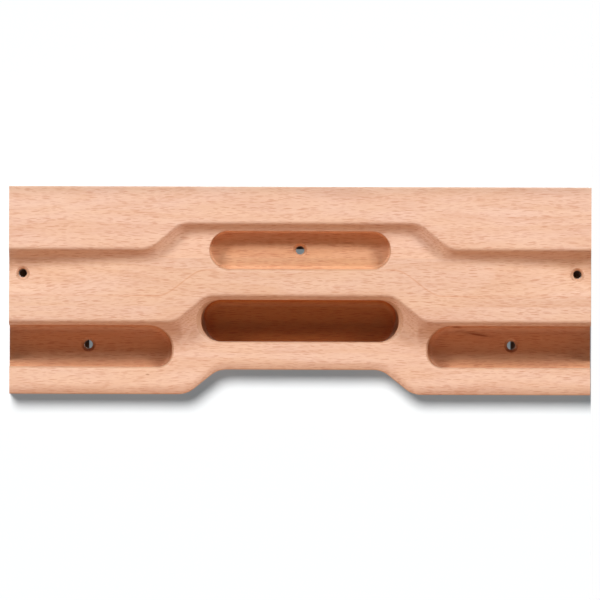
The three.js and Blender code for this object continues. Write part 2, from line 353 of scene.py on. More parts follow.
class BoardForm:
    """Where the board's lines, walls, pockets and holes lie, worked out from its sizes and the frame."""

    def __init__(self, settings):
        self.settings = settings
        tiers = settings.tiers
        self.half_width = (HIGH.x - LOW.x) / 2
        self.front = LOW.y
        self.back = HIGH.y
        self.top = HIGH.z
        self.bottom = LOW.z
        self.top_tier = self.top - tiers.top_height
        self.crease = self.top_tier - tiers.recess_height
        self.middle_tier = self.crease - tiers.middle_height
        self.climb_radius = min(tiers.bend_radius, tiers.centre_rise / 2 / (1 - math.cos(tiers.climb_angle)))
        self.bend_run = self.climb_radius * math.sin(tiers.climb_angle)
        bend_rise = self.climb_radius * (1 - math.cos(tiers.climb_angle))
        straight_run = (tiers.centre_rise / 2 - bend_rise) / math.tan(tiers.climb_angle)
        self.climb_half_run = self.bend_run + straight_run
        self.sections = {}

        top_pocket = settings.top_pocket
        side_pocket = settings.side_pocket
        holes = settings.holes
        self.top_pocket_top = self.top_tier + tiers.centre_rise - top_pocket.below_tier
        self.centre_pocket_top = self.middle_tier + tiers.centre_rise - settings.centre_pocket.below_tier
        self.side_pocket_top = self.middle_tier - side_pocket.below_tier
        self.top_hole = self.top_pocket_top - top_pocket.height / 2
        self.side_hole = self.side_pocket_top - side_pocket.height / 2 + holes.side_over_middle
        self.side_hole_x = self.half_width - holes.side_from_end
        recess_x = self.half_width - holes.recess_from_end
        valley = self.top_tier - self.wall_height(self.recess_depth(recess_x), 0)
        recess_z = self.crease + (valley - self.crease) * holes.recess_height_share
        self.hole_places = (
            (0, self.top_hole, self.front + top_pocket.depth),
            (-self.side_hole_x, self.side_hole, self.front + side_pocket.depth),
            (self.side_hole_x, self.side_hole, self.front + side_pocket.depth),
            (-recess_x, recess_z, self.surface(recess_x, recess_z)),
            (recess_x, recess_z, self.surface(recess_x, recess_z)),
        )
        joint_below_hole = holes.countersink_radius + settings.joint_clearance
        self.glue_joints = (
            self.side_hole - joint_below_hole,
            self.middle_tier + settings.stave_over_tier,
            self.top_hole - joint_below_hole,
            self.top - settings.top_stave_height,
        )

    def climb_at(self, distance, place):
        """How far a line has climbed at a distance from the board's middle, and how steeply it runs there."""
        tiers = self.settings.tiers
        inward = place - distance
        to_end = self.climb_half_run - abs(inward)
        if to_end <= 0:
            return (tiers.centre_rise if inward > 0 else 0, 0)
        if to_end >= self.bend_run:
            return (tiers.centre_rise / 2 + inward * math.tan(tiers.climb_angle), tiers.climb_angle)
        lift = self.climb_radius - math.sqrt(self.climb_radius ** 2 - to_end ** 2)
        rise = tiers.centre_rise - lift if inward > 0 else lift
        return (rise, math.asin(to_end / self.climb_radius))

    def bottom_edge(self, distance):
        """Height of the bottom edge, which climbs a little less than the other lines."""
        tiers = self.settings.tiers
        return self.bottom + self.climb_at(distance, tiers.bottom_climb)[0] * tiers.bottom_rise_share

    def recess_depth(self, distance):
        """Depth of the recess: level with the middle tier near the board's middle, and deeper to its ends."""
        tiers = self.settings.tiers
        reach = max(0, distance - tiers.recess_start) / (self.half_width - tiers.recess_start)
        return tiers.middle_depth + tiers.recess_extra_depth * reach ** 2

    def wall_height(self, depth, slope):
        """Height that a wall under a tier takes up for its depth, where its line runs level or climbs."""
        return depth / math.tan(self.settings.tiers.wall_angle) / math.cos(slope)

    def section(self, x):
        """The board's closed outline at a place along it, as points of Y and Z."""
        key = round(x / MERGE_DISTANCE)
        if key not in self.sections:
            self.sections[key] = self.make_section(abs(x))
        return self.sections[key]

    def make_section(self, distance):
        """The outline at a distance from the middle, down the front from the top and then round the back."""
        tiers = self.settings.tiers
        edges = self.settings.edges
        top_line = self.climb_at(distance, tiers.top_climb)
        crease_line = self.climb_at(distance, tiers.crease_climb)
        middle_line = self.climb_at(distance, tiers.middle_climb)
        top_edge = self.top_tier + top_line[0]
        middle_edge = self.middle_tier + middle_line[0]
        bottom_edge = self.bottom_edge(distance)
        valley_depth = self.recess_depth(distance)
        valley = top_edge - self.wall_height(valley_depth, top_line[1])
        cove = middle_edge - self.wall_height(tiers.lower_depth - tiers.middle_depth, middle_line[1])
        thickness = self.back - self.front
        ease_height = edges.ease_radius * math.sin(edges.ease_angle)
        ease_depth = edges.ease_radius * (1 - math.cos(edges.ease_angle))
        corners = [
            Corner(thickness, self.top),
            Corner(0, self.top, edges.top_radius, EDGE_STEPS),
            Corner(0, top_edge, edges.tier_radius, EDGE_STEPS),
            Corner(valley_depth, valley, edges.valley_radius / math.cos(top_line[1]) ** 2, VALLEY_STEPS),
            Corner(tiers.middle_depth, self.crease + crease_line[0]),
            Corner(tiers.middle_depth, middle_edge, edges.tier_radius, EDGE_STEPS),
            Corner(tiers.lower_depth, cove, edges.cove_radius / math.cos(middle_line[1]) ** 2, COVE_STEPS),
            Corner(tiers.lower_depth, bottom_edge + ease_height),
            Corner(tiers.lower_depth + ease_depth, bottom_edge),
            Corner(thickness, bottom_edge),
        ]
        points = []
        reaches = rounding_reaches(corners)
        for index, corner in enumerate(corners):
            after = corners[(index + 1) % len(corners)]
            if corner.radius:
                points.extend(rounded(corners[index - 1].place, corner, after.place, reaches[index]))
            else:
                points.append(corner.place)
            if index == EASE_CORNER:
                points.extend(self.eased_edge(bottom_edge))
        return [Vector((self.front + point.x, point.y)) for point in spread(points)]

    def eased_edge(self, bottom_edge):
        """The points between the ends of the wide arc that eases the bottom edge."""
        edges = self.settings.edges
        arc = []
        for step in range(1, EASE_STEPS):
            turn = edges.ease_angle * step / EASE_STEPS
            arc.append(Vector((
                self.settings.tiers.lower_depth + edges.ease_radius * (1 - math.cos(turn)),
                bottom_edge + edges.ease_radius * (math.sin(edges.ease_angle) - math.sin(turn)),
            )))
        return arc

    def surface(self, x, z):
        """Y of the front surface at a place, before the pockets are cut."""
        inside = max(-self.half_width, min(self.half_width, x))
        outline = self.section(inside)
        for upper, lower in zip(outline, outline[1:]):
            if upper.y >= z > lower.y:
                part = (upper.y - z) / (upper.y - lower.y)
                return upper.x + (lower.x - upper.x) * part
        return self.front

    def is_milled(self, place):
        """Whether a place on the board lies off its back, its ends, its top and its underside."""
        return (
            place.y < self.back - SKIN
            and abs(place.x) < self.half_width - SKIN
            and self.bottom_edge(abs(place.x)) + SKIN < place.z < self.top - SKIN
        )

    def is_in_hole(self, place):
        """Whether a place lies in a screw hole or its countersink."""
        radius = self.settings.holes.countersink_radius
        return any(math.hypot(place.x - x, place.z - z) < radius for x, z, _ in self.hole_places)

    def hollow_at(self, place):
        """How deep a place lies, as the painted shade of the hollows counts it.

        It is negative where the recess is deeper than the middle tier. Under the surface it grows with the
        depth, and from where the rims end it also takes in the depth behind the board's front.
        """
        tiers = self.settings.tiers
        surface = self.surface(place.x, place.z)
        crease = self.crease + self.climb_at(abs(place.x), tiers.crease_climb)[0]
        recessed = max(0, surface - self.front - tiers.middle_depth) if place.z > crease else 0
        under = max(0, place.y - surface)
        at_rim = RIM_EXTRA if under > RIM_SKIN else 0
        past_rim = min(1, max(0, under - RIM_DEPTH) / RIM_DEPTH)
        return under + at_rim + (place.y - self.front) * past_rim - recessed

    def places(self):
        """Where sections are taken along the board: close together where the lines climb."""
        tiers = self.settings.tiers
        climbs = (tiers.top_climb, tiers.crease_climb, tiers.middle_climb, tiers.bottom_climb)
        inner = min(climbs) - self.climb_half_run
        outer = max(climbs) + self.climb_half_run
        right = (
            evenly(0, inner, PLAIN_SPACING)
            + evenly(inner, outer, CLIMB_SPACING)
            + evenly(outer, self.half_width, PLAIN_SPACING)
            + [self.half_width]
        )
        return [-x for x in reversed(right[1:])] + right


class Corner:
    """A corner of the section, as depth and height, with the radius that rounds it off."""

    def __init__(self, depth, height, radius=0, steps=0):
        self.place = Vector((depth, height))
        self.radius = radius
        self.steps = steps


# The corner of the section after which the bottom edge's arc follows.
EASE_CORNER = 7


def rounding_reaches(corners):
    """How far each corner's rounding runs along its sides. Roundings that would meet divide their side."""
    wanted = []
    for index, corner in enumerate(corners):
        to_before = corners[index - 1].place - corner.place
        to_after = corners[(index + 1) % len(corners)].place - corner.place
        wanted.append(corner.radius / math.tan(to_before.angle(to_after) / 2))
    reaches = []
    for index, corner in enumerate(corners):
        reach = wanted[index]
        for other in (index - 1, (index + 1) % len(corners)):
            side = (corners[other].place - corner.place).length
            reach = min(reach, side * wanted[index] / max(wanted[index] + wanted[other], MERGE_DISTANCE))
        reaches.append(reach)
    return reaches


def rounded(before, corner, after, reach):
    """The arc that rounds off a corner between its neighbours and runs along its sides for the reach."""
    to_before = before - corner.place
    to_after = after - corner.place
    half_angle = to_before.angle(to_after) / 2
    radius = reach * math.tan(half_angle)
    to_before.normalize()
    to_after.normalize()
    centre = corner.place + (to_before + to_after).normalized() * (radius / math.sin(half_angle))
    start = corner.place + to_before * reach - centre
    end = corner.place + to_after * reach - centre
    turn = math.atan2(start.x * end.y - start.y * end.x, start.dot(end))
    arc = []
    for step in range(corner.steps + 1):
        arc.append(centre + Matrix.Rotation(turn * step / corner.steps, 2) @ start)
    return arc


def spread(points):
    """A closed outline whose straight sides are divided evenly, so that every section has as many points."""
    outline = []
    for index, point in enumerate(points):
        after = points[(index + 1) % len(points)]
        steps = FACE_STEPS if index in SIDE_STARTS else 1
        for step in range(steps):
            outline.append(point.lerp(after, step / steps))
    outline.append(points[0])
    return outline


def side_starts():
    """The points of the undivided outline at which its straight sides start."""
    steps_at_corners = (0, EDGE_STEPS, EDGE_STEPS, VALLEY_STEPS, 0, EDGE_STEPS, COVE_STEPS, EASE_STEPS, 0)
    starts = set()
    last_point = -1
    for steps in steps_at_corners:
        last_point += steps + 1
        starts.add(last_point)
    return starts


SIDE_STARTS = side_starts()


def evenly(start, end, spacing):
    """Places from start up to, and not with, end, about as far apart as the spacing."""
    steps = max(1, round((end - start) / spacing))
    return [start + (end - start) * step / steps for step in range(steps)]


def wrapped_grid(bm, columns, rows, place):
    """A grid whose points are moved to place(column, row)."""
    made = bmesh.ops.create_grid(bm, x_segments=columns, y_segments=rows, size=1.0)
    for vertex in made["verts"]:
        column = round((vertex.co.x + 1) / 2 * columns)
        row = round((vertex.co.y + 1) / 2 * rows)
        vertex.co = place(column, row)


def fill_openings(bm):
    """Closes a mesh wherever its edges lie open."""
    open_edges = [edge for edge in bm.edges if edge.is_boundary]
    bmesh.ops.holes_fill(bm, edges=open_edges, sides=0)


def close_body(bm):
    """Welds wrapped grids into closed bodies with their faces pointing out."""
    bmesh.ops.remove_doubles(bm, verts=bm.verts, dist=MERGE_DISTANCE)
    fill_openings(bm)
    bmesh.ops.recalc_face_normals(bm, faces=bm.faces)


def finished_mesh(bm, name):
    """Turns a bmesh into a mesh object at the origin."""
    mesh = bpy.data.meshes.new(name)
    bm.to_mesh(mesh)
    bm.free()
    made = bpy.data.objects.new(name, mesh)
    bpy.context.scene.collection.objects.link(made)
    return made


def make_blank(form):
    """The tiered board before its pockets and holes are cut."""
    places = form.places()
    rows = len(form.section(0)) - 1
    bm = bmesh.new()

    def place(column, row):
        point = form.section(places[column])[row]
        return Vector((places[column], point.x, point.y))

    wrapped_grid(bm, len(places) - 1, rows, place)
    close_body(bm)
    return finished_mesh(bm, "blank")


class PocketForm:
    """A pocket's cutting shape: rings from its floor to its rim on the surface, and out through the front."""

    def __init__(self, form, sizes, left, right, top):
        self.form = form
        self.sizes = sizes
        self.left = left
        self.right = right
        self.top = top
        self.bottom = top - sizes.height
        self.floor = form.front + sizes.depth

    def cove_inset(self, over_floor, radius):
        """How far a wall has come in where a cove runs into the floor, at a height over the floor."""
        left = max(0, radius - over_floor)
        return radius - math.sqrt(radius ** 2 - left ** 2)

    def rim_at(self, place, outward):
        """Rounding of the rim: it grows to the bottom of the pocket, and has its own size at the ends."""
        edges = self.form.settings.edges
        down = (self.top - place.y) / self.sizes.height
        rim = edges.upper_rim + (edges.lower_rim - edges.upper_rim) * down
        return rim + (self.sizes.end_rim - rim) * outward.x ** 2

    def outline(self, over_floor, grow):
        """One ring, as points of X and Z, drawn in by the coves or grown by the rim."""
        sizes = self.sizes
        side_inset = self.cove_inset(over_floor, sizes.side_cove) - grow
        lower_inset = self.cove_inset(over_floor, sizes.lower_cove) - grow
        corners = (
            (self.right, self.top, sizes.upper_corner, side_inset, -1, -1),
            (self.left, self.top, sizes.upper_corner, side_inset, 1, -1),
            (self.left, self.bottom, sizes.lower_corner, lower_inset, 1, 1),
            (self.right, self.bottom, sizes.lower_corner, lower_inset, -1, 1),
        )
        ring = []
        for quarter, (x, z, radius, inset, way_x, way_z) in enumerate(corners):
            for step in range(CORNER_STEPS + 1):
                turn = math.pi / 2 * (quarter + step / CORNER_STEPS)
                ring.append(Vector((
                    x + way_x * radius + (radius - side_inset) * math.cos(turn),
                    z + way_z * radius + (radius - inset) * math.sin(turn),
                )))
        ring.append(ring[0])
        return ring

    def rings(self):
        """Every ring of the shape, as points."""
        cove_height = max(self.sizes.side_cove, self.sizes.lower_cove)
        rings = []
        for step in range(POCKET_COVE_STEPS + 1):
            over_floor = cove_height * (1 - math.cos(math.pi / 2 * step / POCKET_COVE_STEPS))
            ring = self.outline(over_floor, 0)
            rings.append([Vector((point.x, self.floor - over_floor, point.y)) for point in ring])

        # Growing the outline by one unit gives each point its way outwards.
        wall = self.outline(cove_height, 0)
        grown = self.outline(cove_height, 1)
        for step in range(RIM_STEPS + 2):
            turn = RIM_TURN * min(step, RIM_STEPS) / RIM_STEPS
            run = RIM_RUN if step > RIM_STEPS else 0
            ring = []
            for start, end in zip(wall, grown):
                outward = end - start
                rim = self.rim_at(start, outward)
                point = start + outward * (rim * (1 - math.cos(turn)) + run * math.sin(turn))
                under = rim * (1 - math.sin(turn)) - run * math.cos(turn)
                ring.append(Vector((point.x, self.form.surface(point.x, point.y) + under, point.y)))
            rings.append(ring)
        front = self.form.front - OVERRUN
        rings.append([Vector((point.x, front, point.z)) for point in rings[-1]])
        return rings


def make_pockets(form):
    """The cutting shape of all four pockets."""
    top = form.settings.top_pocket
    centre = form.settings.centre_pocket
    side = form.settings.side_pocket
    outside = form.half_width + OVERRUN + side.upper_corner
    pockets = [
        PocketForm(form, top, -top.reach, top.reach, form.top_pocket_top),
        PocketForm(form, centre, -centre.reach, centre.reach, form.centre_pocket_top),
        PocketForm(form, side, -outside, -side.start, form.side_pocket_top),
        PocketForm(form, side, side.start, outside, form.side_pocket_top),
    ]
    bm = bmesh.new()
    for pocket in pockets:
        rings = pocket.rings()
        wrapped_grid(bm, len(rings[0]) - 1, len(rings) - 1, lambda column, row: rings[row][column])
    close_body(bm)
    return finished_mesh(bm, "pocket_cutters")


def add_hole(bm, form, x, z, surface_y):
    """Spins the cutting shape of one screw hole with its countersink."""
    holes = form.settings.holes
    sink_depth = holes.countersink_radius - holes.radius
    profile = (
        (0, form.front - OVERRUN),
        (holes.countersink_radius, form.front - OVERRUN),
        (holes.countersink_radius, surface_y),
        (holes.radius, surface_y + sink_depth),
        (holes.radius, form.back + OVERRUN),
        (0, form.back + OVERRUN),
    )
    vertices = [bm.verts.new((x + radius, y, z)) for radius, y in profile]
    edges = [bm.edges.new(pair) for pair in zip(vertices, vertices[1:])]
    bmesh.ops.spin(
        bm,
        geom=vertices + edges,
        cent=(x, 0, z),
        axis=(0, 1, 0),
        angle=2 * math.pi,
        steps=HOLE_STEPS,
        use_merge=True,
    )


def make_holes(form):
    """The cutting shape of all five screw holes."""
    bm = bmesh.new()
    for x, z, surface_y in form.hole_places:
        add_hole(bm, form, x, z, surface_y)
    bmesh.ops.remove_doubles(bm, verts=bm.verts, dist=MERGE_DISTANCE)
    bmesh.ops.recalc_face_normals(bm, faces=bm.faces)
    return finished_mesh(bm, "hole_cutters")


def cut(blank, cutters):
    """Cuts the cutters out of the blank and takes them away."""
    for cutter in cutters:
        modifier = blank.modifiers.new("Cut", "BOOLEAN")
        modifier.operation = "DIFFERENCE"
        modifier.solver = "EXACT"
        modifier.object = cutter
    graph = bpy.context.evaluated_depsgraph_get()
    milled = bpy.data.meshes.new_from_object(blank.evaluated_get(graph))
    blank.modifiers.clear()
    blank.data = milled
    for cutter in cutters:
        bpy.data.objects.remove(cutter)


def divided(board, low, high):
    """The part of the board between two heights, as a bmesh with its cuts closed."""
    bm = bmesh.new()
    bm.from_mesh(board.data)
    for height, way in ((low, -1), (high, 1)):
        if height is None:
            continue
        bmesh.ops.bisect_plane(
            bm,
            geom=bm.verts[:] + bm.edges[:] + bm.faces[:],
            dist=MERGE_DISTANCE,
            plane_co=(0, 0, height),
            plane_no=(0, 0, way),
            clear_outer=True,
        )
        fill_openings(bm)
    return bm


def mark_hollows(bm, form):
    """Keeps at each face corner how deep it lies in the recess, a pocket or a hole, for the painted shade
    there.
    """
    layer = bm.loops.layers.float.new(HOLLOW_LAYER)
    for face in bm.faces:
        middle = face.calc_center_median()
        if form.is_milled(middle):
            extra = DRILLED_EXTRA if form.is_in_hole(middle) else 0
            for loop in face.loops:
                loop[layer] = form.hollow_at(loop.vert.co) + extra


def finish_stave(bm):
    """Merges corners, splits many-sided faces and marks the sharp edges, so that curves shade smoothly."""
    bmesh.ops.remove_doubles(bm, verts=bm.verts, dist=MERGE_DISTANCE)
    many_sided = [face for face in bm.faces if len(face.verts) > MOST_CORNERS]
    bmesh.ops.triangulate(bm, faces=many_sided)
    bmesh.ops.recalc_face_normals(bm, faces=bm.faces)
    for face in bm.faces:
        face.smooth = True
    for edge in bm.edges:
        edge.smooth = len(edge.link_faces) == 2 and edge.calc_face_angle() < SHARP_ANGLE


class BOARD_OT_staves(bpy.types.Operator):
    """Mill the board and divide it at the glue joints into its five staves"""

    bl_idname = "board.staves"
    bl_label = "Staves"

    def execute(self, context):
        form = BoardForm(context.scene.board)
        board = make_blank(form)
        cut(board, [make_pockets(form), make_holes(form)])
        limits = [None, *form.glue_joints, None]
        for index, name in enumerate(STAVE_NAMES):
            bm = divided(board, limits[index], limits[index + 1])
            finish_stave(bm)
            mark_hollows(bm, form)
            stave = finished_mesh(bm, name + "_beech")
            weighting = stave.modifiers.new("Weighting", "WEIGHTED_NORMAL")
            weighting.keep_sharp = True
            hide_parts(name)
            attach(stave, "root")
        bpy.data.objects.remove(board)
        return {"FINISHED"}


class Bench:
    """Adds shader nodes to a material or world and joins them to what feeds them."""

    def __init__(self, owner):
        owner.use_nodes = True
        self.tree = owner.node_tree
        self.tree.nodes.clear()

    def node(self, kind, **settings):
        """A new node with its settings."""
        made = self.tree.nodes.new(kind)
        for name, value in settings.items():
            setattr(made, name, value)
        return made

    def feed(self, node, inputs):
        """Gives each input a value, or joins it to the output of another node."""
        for name, value in inputs.items():
            if isinstance(value, bpy.types.NodeSocket):
                self.tree.links.new(value, node.inputs[name])
            else:
                node.inputs[name].default_value = value
        return node

    def math(self, operation, *values):
        """The outcome of an operation on numbers."""
        made = self.node("ShaderNodeMath", operation=operation)
        return self.feed(made, dict(enumerate(values))).outputs[0]

    def vector(self, operation, first, second):
        """The outcome of an operation on two vectors."""
        made = self.node("ShaderNodeVectorMath", operation=operation)
        return self.feed(made, {0: first, 1: second}).outputs[0]

    def noise(self, place, stretch, detail=2.0, roughness=0.5):
        """Noise that runs on for the stretch's lengths along X, Y and Z before it changes."""
        scaled = self.vector("DIVIDE", place, stretch)
        made = self.node("ShaderNodeTexNoise")
        inputs = {"Vector": scaled, "Scale": 1.0, "Detail": detail, "Roughness": roughness}
        return self.feed(made, inputs).outputs["Fac"]

    def ramp(self, value, low, high, low_to=0.0, high_to=1.0):
        """A smooth step from low to high."""
        made = self.node("ShaderNodeMapRange", interpolation_type="SMOOTHSTEP")
        inputs = {"Value": value, "From Min": low, "From Max": high, "To Min": low_to, "To Max": high_to}
        return self.feed(made, inputs).outputs["Result"]

    def weigh(self, *pairs):
        """The sum of values, each times its weight."""
        total = 0.0
        for value, weight in pairs:
            total = self.math("MULTIPLY_ADD", value, weight, total)
        return total

    def parts(self, vector):
        """The X, Y and Z of a vector."""
        made = self.feed(self.node("ShaderNodeSeparateXYZ"), {"Vector": vector})
        return [made.outputs[axis] for axis in "XYZ"]

    def blend(self, factor, first, second, how="MIX"):
        """A colour between two others, or the first times the second."""
        made = self.node("ShaderNodeMix", data_type="RGBA", blend_type=how)
        return self.feed(made, {MIX_FACTOR: factor, MIX_FIRST: first, MIX_SECOND: second}).outputs[MIX_COLOUR]

    def seen(self):
        """1 for rays from the camera, off glossy surfaces and through clear ones, and 0 for all others."""
        path = self.node("ShaderNodeLightPath").outputs
        direct = self.math("MAXIMUM", path["Is Camera Ray"], path["Is Glossy Ray"])
        return self.math("MAXIMUM", direct, path["Is Transmission Ray"])


# A Mix node's sockets for colours, by number, because it has others of the same names.
MIX_FACTOR = 0
MIX_FIRST = 6
MIX_SECOND = 7
MIX_COLOUR = 2


def opaque(value):
    """A colour with its alpha."""
    return (*value, 1.0)


def rings(bench, place, stave):
    """Growth rings about the heart of the tree, which runs along X behind the stave."""
    _, place_y, place_z = bench.parts(place)
    from_y = bench.math("SUBTRACT", place_y, stave.heart_y)
    from_z = bench.math("SUBTRACT", place_z, stave.heart_z)
    square = bench.math("MULTIPLY_ADD", from_y, from_y, bench.math("MULTIPLY", from_z, from_z))
    turns = bench.math("FRACT", bench.math("DIVIDE", bench.math("SQRT", square), RING_SPACING))
    return bench.math("MULTIPLY", bench.ramp(turns, *LATE_WOOD_RISE), bench.ramp(turns, *LATE_WOOD_FALL))


def dashes(bench, place, cell, chance_from):
    """Short thin dashes along the fibres, one in each cell, and the stronger the higher its chance."""
    cells = bench.node("ShaderNodeTexVoronoi", feature="F1")
    bench.feed(cells, {"Vector": bench.vector("DIVIDE", place, cell), "Scale": 1.0, "Randomness": 1.0})
    chance = bench.feed(bench.node("ShaderNodeSeparateColor"), {"Color": cells.outputs["Color"]})
    dash = bench.ramp(cells.outputs["Distance"], *DASH_EDGE)
    return bench.math("MULTIPLY", dash, bench.ramp(chance.outputs["Red"], chance_from, 1.0))


def streak(bench, along_x, along_z, mark):
    """How strongly a natural streak shows: fully in its middle, fading to its edges."""
    run = bench.math("DIVIDE", bench.math("SUBTRACT", along_x, mark.x), mark.half_length)
    line = bench.math("MULTIPLY_ADD", run, mark.slope * mark.half_length, mark.z)
    off = bench.math("DIVIDE", bench.math("SUBTRACT", along_z, line), mark.half_height)
    square = bench.math("MULTIPLY_ADD", run, run, bench.math("MULTIPLY", off, off))
    return bench.ramp(square, 1.0, 0.0, 0.0, mark.strength)


def painted_hollow_shade(bench):
    """Painted shade by depth: in the deep recess, on rims, in pockets and in holes."""
    depth = bench.node("ShaderNodeAttribute", attribute_name=HOLLOW_LAYER)
    least = PAINTED_HOLLOW_SHADES[0][0]
    most = PAINTED_HOLLOW_SHADES[-1][0]
    along_tones = bench.feed(bench.node("ShaderNodeMapRange"), {
        "Value": depth.outputs["Fac"],
        "From Min": least * MILLIMETRE,
        "From Max": most * MILLIMETRE,
    })
    tones = bench.node("ShaderNodeValToRGB")
    stops = tones.color_ramp.elements
    stops[0].position = 0.0
    stops[1].position = 1.0
    for _ in PAINTED_HOLLOW_SHADES[2:]:
        stops.new(1.0)
    for stop, (millimetres, tone) in zip(stops, PAINTED_HOLLOW_SHADES):
        stop.position = (millimetres - least) / (most - least)
        stop.color = opaque(tone)
    return bench.feed(tones, {"Fac": along_tones.outputs["Result"]}).outputs["Color"]


def crease_line(bench, along_x, along_z, form):
    """How strongly the fine line shows that the mill leaves along the foot of the recess."""
    tiers = form.settings.tiers
    from_middle = bench.math("ABSOLUTE", along_x)
    outer = (tiers.crease_climb + form.climb_half_run) / MILLIMETRE
    inner = (tiers.crease_climb - form.climb_half_run) / MILLIMETRE
    low = form.crease / MILLIMETRE
    line = bench.ramp(from_middle, inner, outer, low + tiers.centre_rise / MILLIMETRE, low)
    off = bench.math("ABSOLUTE", bench.math("SUBTRACT", along_z, line))
    fade_from, fade_to = CREASE_FADE
    start_from, start_to = CREASE_START
    near_climb = bench.ramp(from_middle, outer + fade_from, outer + fade_to, 1.0, CREASE_FAR_STRENGTH)
    past_pocket = bench.ramp(from_middle, inner - start_from, inner - start_to)
    along = bench.math("MULTIPLY", near_climb, past_pocket)
    return bench.math("MULTIPLY", bench.ramp(off, *CREASE_EDGE), along)


def make_beech(form, index):
    """Steamed beech for one stave, with its fibres along X."""
    looks = form.settings.wood
    stave = STAVE_WOODS[index]
    material = bpy.data.materials.new(STAVE_NAMES[index] + "_beech")
    bench = Bench(material)
    source = bench.node("ShaderNodeTexCoord")
    scaled = bench.node("ShaderNodeMapping")
    bench.feed(scaled, {"Vector": source.outputs["Object"], "Scale": Vector((1.0, 1.0, 1.0)) / MILLIMETRE})
    board_x, _, board_z = bench.parts(scaled.outputs["Vector"])

    # The fibres wander slowly up and down, and in and out.
    seeded = bench.vector("ADD", scaled.outputs["Vector"], Vector(SEED_STEP) * (index + 1))
    bends = bench.feed(bench.node("ShaderNodeCombineXYZ"), {
        "Y": bench.weigh((bench.noise(seeded, *BENDS_IN), BEND_IN)),
        "Z": bench.weigh((bench.noise(seeded, *BENDS_UP), BEND_UP)),
    })
    fibre_place = bench.vector("ADD", seeded, bends.outputs["Vector"])
    ring_place = bench.vector("ADD", scaled.outputs["Vector"], bends.outputs["Vector"])
    late = rings(bench, ring_place, stave)

    # Broad streaks, soft clouds, short mottles and fine fibres.
    streaks = bench.noise(fibre_place, *STREAKS)
    clouds = bench.noise(seeded, *CLOUDS)
    golds = bench.noise(fibre_place, *GOLDS)
    mottles = bench.noise(fibre_place, *MOTTLES)
    fibres = bench.noise(fibre_place, *FIBRES)
    grain = bench.weigh(*zip((late, streaks, clouds, mottles, fibres), GRAIN_WEIGHTS))
    tint = bench.blend(bench.ramp(grain, *GRAIN_RANGE), opaque(looks.pale), opaque(looks.deep))
    tint = bench.blend(bench.ramp(golds, *GOLD_RANGE, *GOLD_SHARES), tint, opaque(looks.golden))

    # Ray flecks, long and short.
    long_flecks = dashes(bench, fibre_place, *LONG_FLECKS)
    short_flecks = bench.weigh((dashes(bench, fibre_place, *SHORT_FLECKS), SHORT_FLECK_STRENGTH))
    fleck = bench.math("MAXIMUM", long_flecks, short_flecks)
    tint = bench.blend(bench.weigh((fleck, looks.fleck_strength)), tint, opaque(looks.fleck))

    # The fine line at the foot of the recess.
    tint = bench.blend(crease_line(bench, board_x, board_z, form), tint, opaque(CREASE_TONE), "MULTIPLY")

    # Natural streaks in this stave.
    for mark in stave.marks:
        strength = bench.weigh((streak(bench, board_x, board_z, mark), looks.mark_strength))
        tint = bench.blend(strength, tint, opaque(looks.mark))

    # End grain where the surface cuts across the fibres, dotted with pores.
    facing_x, _, facing_z = bench.parts(source.outputs["Normal"])
    cut_ends = bench.ramp(bench.math("ABSOLUTE", facing_x), *END_RANGE)
    pores = bench.ramp(bench.noise(seeded, *PORES), *PORE_RANGE, *PORE_SHARES)
    tint = bench.blend(bench.math("MULTIPLY", cut_ends, pores), tint, opaque(looks.end_grain))

    # Painted shade darkens the top edge, most of all where it turns up, and the recess, rims, pockets and
    # holes by their depth.
    near_top = bench.ramp(board_z, TOP_PAINTED_SHADE_FROM, HIGH.z / MILLIMETRE)
    turned_up = bench.ramp(facing_z, *TURNED_UP_RANGE)
    top_shade = bench.weigh((near_top, 1.0 - TURNED_UP_SHADE_SHARE), (turned_up, TURNED_UP_SHADE_SHARE))
    tint = bench.blend(top_shade, tint, opaque(TOP_PAINTED_SHADE), "MULTIPLY")
    tint = bench.blend(looks.shade_strength_in_hollows, tint, painted_hollow_shade(bench), "MULTIPLY")
    tint = bench.blend(1.0, tint, opaque(stave.tone), "MULTIPLY")

    added = bench.weigh(*zip((fibres, fleck, cut_ends), ROUGHNESS_WEIGHTS))
    height = bench.weigh(*zip((fibres, fleck, late), HEIGHT_WEIGHTS))
    bump = bench.feed(bench.node("ShaderNodeBump"), {
        "Strength": BUMP_STRENGTH,
        "Distance": looks.grain_height,
        "Height": height,
    })
    shader = bench.feed(bench.node("ShaderNodeBsdfPrincipled"), {
        "Base Color": tint,
        "Roughness": bench.math("ADD", added, looks.roughness - USUAL_ADDED_ROUGHNESS),
        "Specular IOR Level": WOOD_SHINE,
        "Normal": bump.outputs["Normal"],
    })
    output = bench.node("ShaderNodeOutputMaterial")
    bench.feed(output, {"Surface": shader.outputs["BSDF"]})
    return material


class Mark:
    """A natural streak in the wood, in millimetres from the board's middle."""

    def __init__(self, x, z, half_length, half_height, slope, strength):
        self.x = x
        self.z = z
        self.half_length = half_length
        self.half_height = half_height
        self.slope = slope
        self.strength = strength


class StaveWood:
    """What sets one stave's wood apart: its tone, the heart of its tree and its streaks, in millimetres."""

    def __init__(self, tone, heart_y, heart_z, marks=()):
        self.tone = tone
        self.heart_y = heart_y
        self.heart_z = heart_z
        self.marks = marks


# How far apart the staves lie in the patterns, in millimetres, so that each gets a stretch of its own.
SEED_STEP = (137.0, 29.0, 53.0)

# Patterns of noise: how far each runs on along X, Y and Z in millimetres, its detail and any own roughness.
BENDS_IN = ((260.0, 70.0, 50.0), 1.0)
BENDS_UP = ((170.0, 60.0, 45.0), 2.0)
STREAKS = ((190.0, 9.0, 9.0), 3.0, 0.6)
CLOUDS = ((80.0, 34.0, 34.0), 2.0)
GOLDS = ((60.0, 16.0, 16.0), 2.0)
MOTTLES = ((6.5, 1.3, 1.3), 2.0, 0.6)
FIBRES = ((11.0, 0.8, 0.8), 2.0, 0.6)
PORES = ((0.7, 0.7, 0.7), 2.0)

# How far the fibres bend inwards and upwards, in millimetres.
BEND_IN = 14.0
BEND_UP = 17.0

